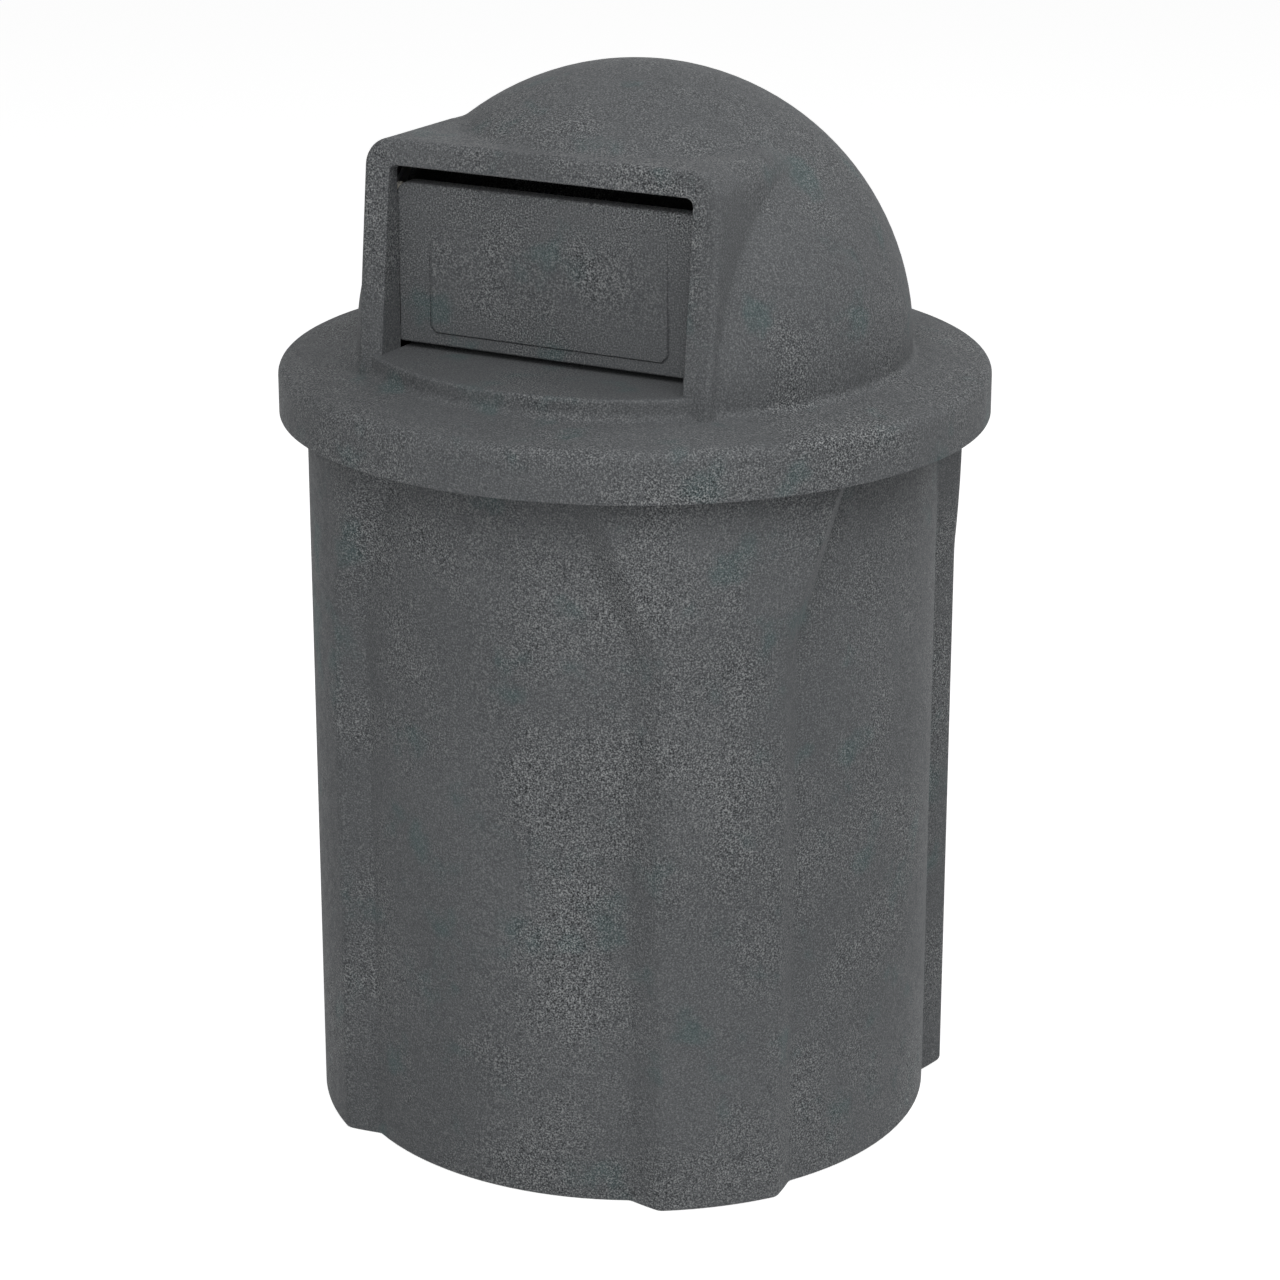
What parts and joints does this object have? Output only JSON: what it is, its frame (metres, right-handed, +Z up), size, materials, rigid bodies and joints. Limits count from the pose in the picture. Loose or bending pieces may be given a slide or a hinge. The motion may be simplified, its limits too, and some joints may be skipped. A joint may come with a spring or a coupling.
{
  "type": "dome top waste receptacle",
  "caption": "Round ribbed moulded litter bin with a rigid liner and a lift-off dome lid whose hood holds an inward swinging push door.",
  "frame": {"origin": "on the ground, under the middle of the round body", "axes": "+Z up, the push door faces -Y, +X to the right of a person who stands before the door and looks along +Y"},
  "size_m": [0.711, 0.711, 1.079],
  "materials": {
    "granite_plastic": "matt, with light and dark granite flecks",
    "liner_plastic": "satin, moulded",
    "plated_steel": "zinc plated",
    "stainless_steel": "satin",
    "brass": "turned",
    "nylon": "natural, smooth",
    "rubber": "matt"
  },
  "bodies": {
    "body": {"body_shell": "granite_plastic"},
    "liner": {"liner": "liner_plastic"},
    "lid": {"dome_lid": "granite_plastic", "hinge_rod": "plated_steel", "hinge_bracket_right": "plated_steel", "hinge_bracket_left": "plated_steel", "rod_clip_right": "plated_steel", "rod_clip_left": "plated_steel", "bracket_screw_rear_right": "stainless_steel", "bracket_screw_rear_left": "stainless_steel", "bracket_screw_front_right": "stainless_steel", "bracket_screw_front_left": "stainless_steel", "threaded_insert_rear_right": "brass", "threaded_insert_rear_left": "brass", "threaded_insert_front_right": "brass", "threaded_insert_front_left": "brass", "stop_pad_right": "rubber", "stop_pad_left": "rubber"},
    "door": {"push_door": "granite_plastic", "door_bush_right": "nylon", "door_bush_left": "nylon"}
  },
  "joints": [
    {"name": "lid_lift", "type": "slide", "parent": "body", "child": "lid", "axis": [0, 0, 1], "range_m": [0, 0.15]},
    {"name": "liner_lift", "type": "slide", "parent": "body", "child": "liner", "axis": [0, 0, 1], "range_m": [0, 0.028]},
    {"name": "door_swing", "type": "hinge", "parent": "lid", "child": "door", "pos_m": [0, -0.1657, 0.96505], "axis": [1, 0, 0], "range_deg": [0, 95]}
  ]
}
